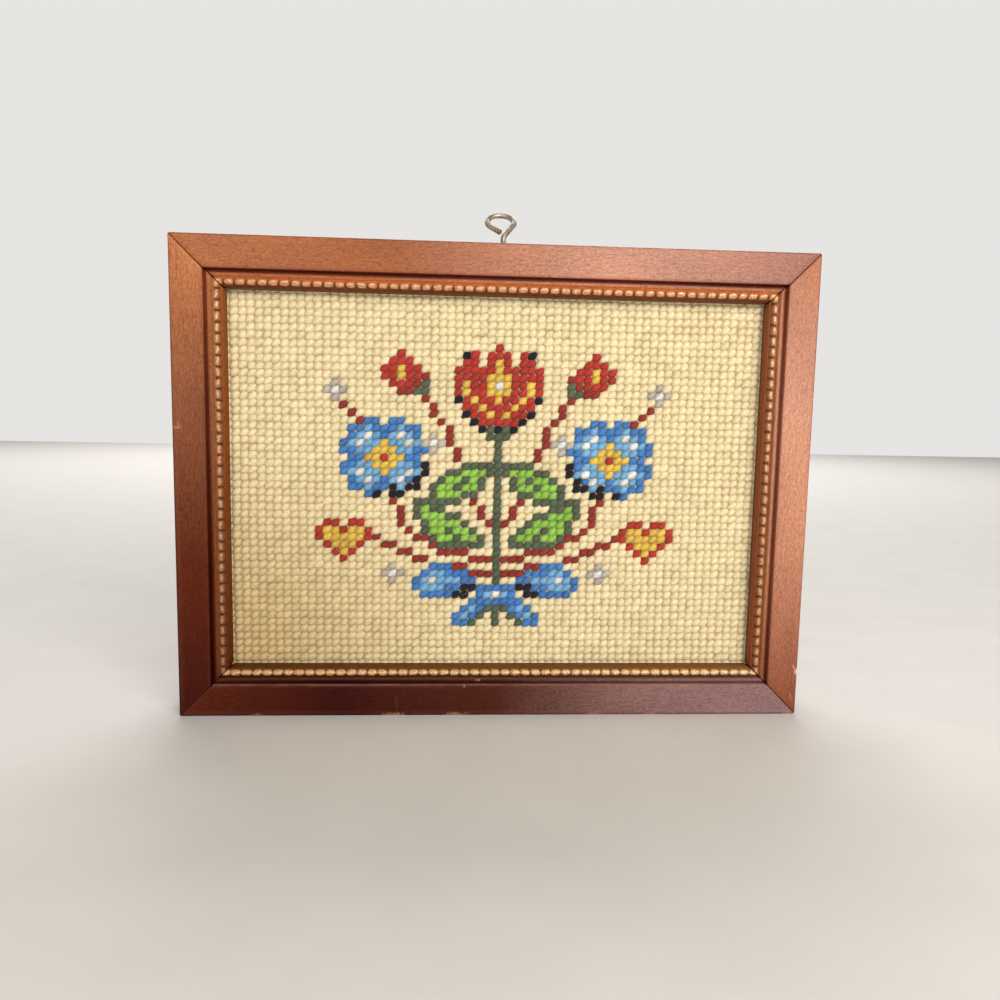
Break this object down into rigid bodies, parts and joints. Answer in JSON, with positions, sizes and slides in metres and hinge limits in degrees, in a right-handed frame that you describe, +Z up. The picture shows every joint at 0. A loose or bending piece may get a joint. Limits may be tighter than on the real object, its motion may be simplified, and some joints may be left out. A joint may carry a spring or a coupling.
{
  "type": "framed needlepoint picture",
  "caption": "Small landscape needlepoint picture in a mitred wooden frame with a gilt beaded inner edge, with a wire screw eye on top to hang it by.",
  "frame": {"origin": "middle of the underside of the frame, on the surface it stands on, halfway through its depth", "axes": "+X to the right of someone looking at the picture, +Y to the back, +Z up; the picture faces -Y"},
  "size_m": [0.204, 0.018, 0.1654],
  "materials": {
    "stained_wood": "stained and lacquered, worn",
    "gilt": "rubbed gilt on the beads of the moulding",
    "wool": "stitched wool yarn on canvas",
    "backing_board": "raw hardboard",
    "wire": "dull nickel plate"
  },
  "bodies": {
    "root": {"rail_top": "stained_wood", "rail_bottom": "stained_wood", "rail_left": "stained_wood", "rail_right": "stained_wood", "needlepoint": "wool", "backing_board": "backing_board", "screw_eye": "wire"}
  },
  "joints": []
}
